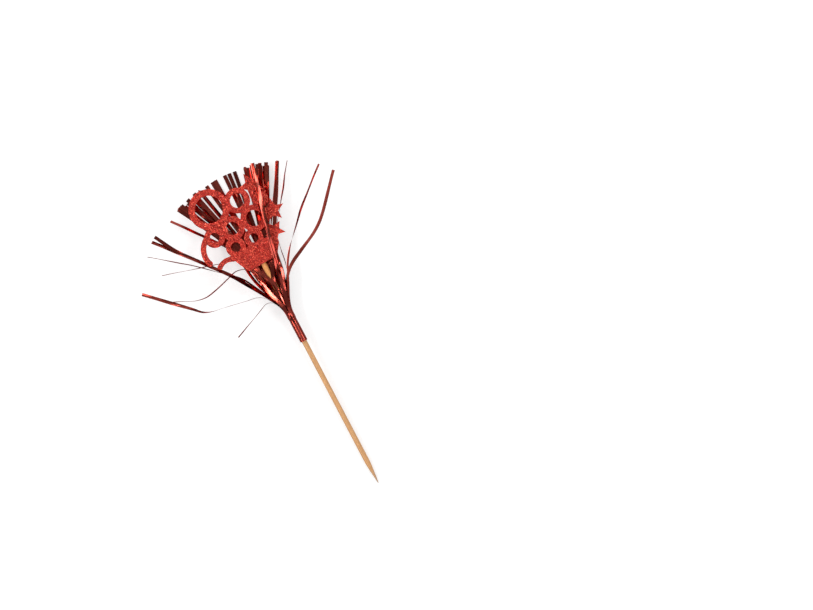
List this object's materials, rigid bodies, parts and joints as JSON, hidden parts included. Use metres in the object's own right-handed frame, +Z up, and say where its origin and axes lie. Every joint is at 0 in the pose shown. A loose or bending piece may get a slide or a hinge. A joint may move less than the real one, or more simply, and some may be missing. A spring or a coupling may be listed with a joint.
{
  "type": "drink pick",
  "caption": "Party drink pick: pointed bamboo skewer with a spreading fringe of red metallic film and a red glitter card of rings and stars.",
  "frame": {"origin": "on the surface that the pick lies on, under the middle of its outline in plan", "axes": "+Y from the point towards the fringe, +X across, to the right as seen with the card facing the viewer and the point down, +Z up out of the surface; the skewer rises by 2.6 degrees towards the fringe"},
  "size_m": [0.1282, 0.1944, 0.0191],
  "materials": {
    "bamboo": "bare sanded bamboo",
    "metallic_film": "mirror-bright metallised film",
    "clear_glue": "set hot-melt glue",
    "glitter_card": "fine glitter on the upper face, plain paper behind"
  },
  "bodies": {
    "root": {"bamboo_skewer": "bamboo", "foil_fringe": "metallic_film", "glue_bead": "clear_glue", "glitter_card": "glitter_card"}
  },
  "joints": []
}
